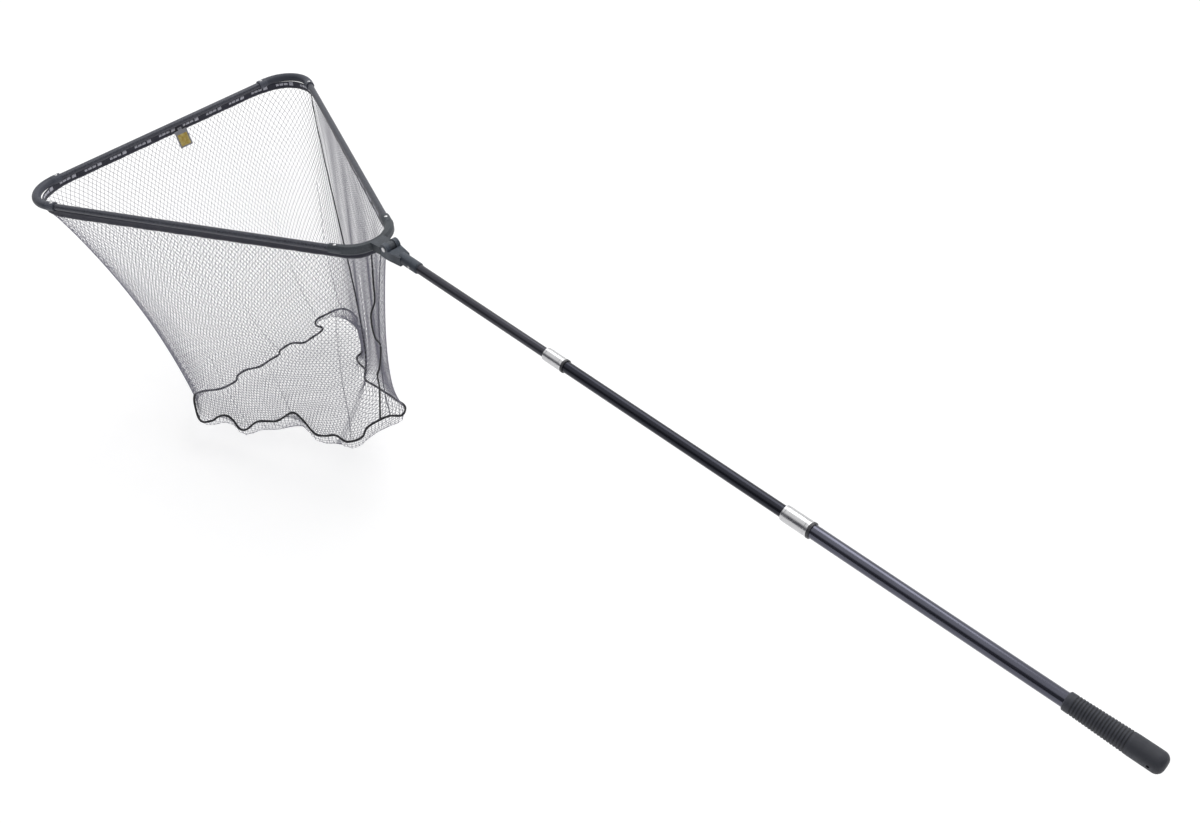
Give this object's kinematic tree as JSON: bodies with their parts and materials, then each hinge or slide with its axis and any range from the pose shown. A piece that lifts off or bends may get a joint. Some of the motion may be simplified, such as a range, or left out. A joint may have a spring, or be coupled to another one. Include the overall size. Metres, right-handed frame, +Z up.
{
  "type": "landing net",
  "caption": "Telescopic landing net with a folding triangular tube head, a deep mesh bag, twist-lock collars and a ribbed rubber grip.",
  "frame": {"origin": "on the handle's axis, in the middle of the grip's plain cylindrical stretch at the butt", "axes": "+X along the handle from the head to the butt, +Z up with the bag hanging down, +Y to the right of someone who looks from the head towards the grip"},
  "size_m": [2.515, 0.7278, 0.6572],
  "materials": {
    "frame_tube": "dark anodised, satin",
    "corner": "smooth grey moulding",
    "yoke": "smooth grey-green moulding",
    "tape": "dark woven tape with pale woven dashes",
    "net": "fine pale knotless netting",
    "binding": "black braided cord",
    "tag": "plain gold tag with a silver rim",
    "head_block": "blue-grey moulding",
    "steel": "plain",
    "upper_tube": "dark anodised",
    "middle_tube": "near-black anodised",
    "lower_tube": "dark blue-grey anodised",
    "collar": "bright turned aluminium",
    "ring": "black",
    "black_plastic": "black",
    "pale_plastic": "natural nylon",
    "grip": "dark grey ribbed rubber"
  },
  "bodies": {
    "lower_handle": {"lower_tube": "lower_tube", "lower_end_plug": "black_plastic", "grip": "grip", "collar_lower_seat": "ring", "collar_lower_collet": "pale_plastic"},
    "lower_nut": {"collar_lower": "collar"},
    "middle_handle": {"middle_tube": "middle_tube", "middle_tail_plug": "black_plastic", "collar_upper_seat": "ring", "collar_upper_collet": "pale_plastic"},
    "upper_nut": {"collar_upper": "collar"},
    "upper_handle": {"head_block": "head_block", "hinge_pin": "steel", "lock_spring": "steel", "neck_rivet": "steel", "upper_tube": "upper_tube", "upper_tail_plug": "black_plastic"},
    "lock": {"lock_bolt": "black_plastic"},
    "head": {"frame_arm_left": "frame_tube", "frame_arm_right": "frame_tube", "front_bar": "frame_tube", "corner_left": "corner", "corner_right": "corner", "yoke": "yoke", "yoke_rivet_left": "steel", "yoke_rivet_right": "steel", "arm_rivet_left": "steel", "arm_rivet_right": "steel", "bar_rivet_left": "steel", "bar_rivet_right": "steel", "tape_left": "tape", "tape_right": "tape", "tape_front": "tape", "net_front": "net", "net_left": "net", "net_right": "net", "net_corner_left": "net", "net_corner_right": "net", "net_rear": "net", "net_bottom": "net", "binding_bottom": "binding", "seam_left": "binding", "seam_right": "binding", "tag": "tag"}
  },
  "joints": [
    {"name": "middle_slide", "type": "slide", "parent": "lower_handle", "child": "middle_handle", "axis": [1, 0, 0], "range_m": [0, 0.49]},
    {"name": "upper_slide", "type": "slide", "parent": "middle_handle", "child": "upper_handle", "axis": [1, 0, 0], "range_m": [0, 0.34]},
    {"name": "lower_collar_twist", "type": "hinge", "parent": "lower_handle", "child": "lower_nut", "pos_m": [-0.62, 0, 0], "axis": [1, 0, 0], "range_deg": [0, 150]},
    {"name": "upper_collar_twist", "type": "hinge", "parent": "middle_handle", "child": "upper_nut", "pos_m": [-1.17, 0, 0], "axis": [1, 0, 0], "range_deg": [0, 150]},
    {"name": "head_fold", "type": "hinge", "parent": "upper_handle", "child": "head", "pos_m": [-1.636, 0, 0.01], "axis": [0, 1, 0], "range_deg": [0, 175]},
    {"name": "lock_slide", "type": "slide", "parent": "upper_handle", "child": "lock", "axis": [1, 0, 0], "range_m": [0, 0.009], "stiffness_N_per_m": 600, "springref_m": -0.004, "deforming": ["lock_spring"]}
  ]
}
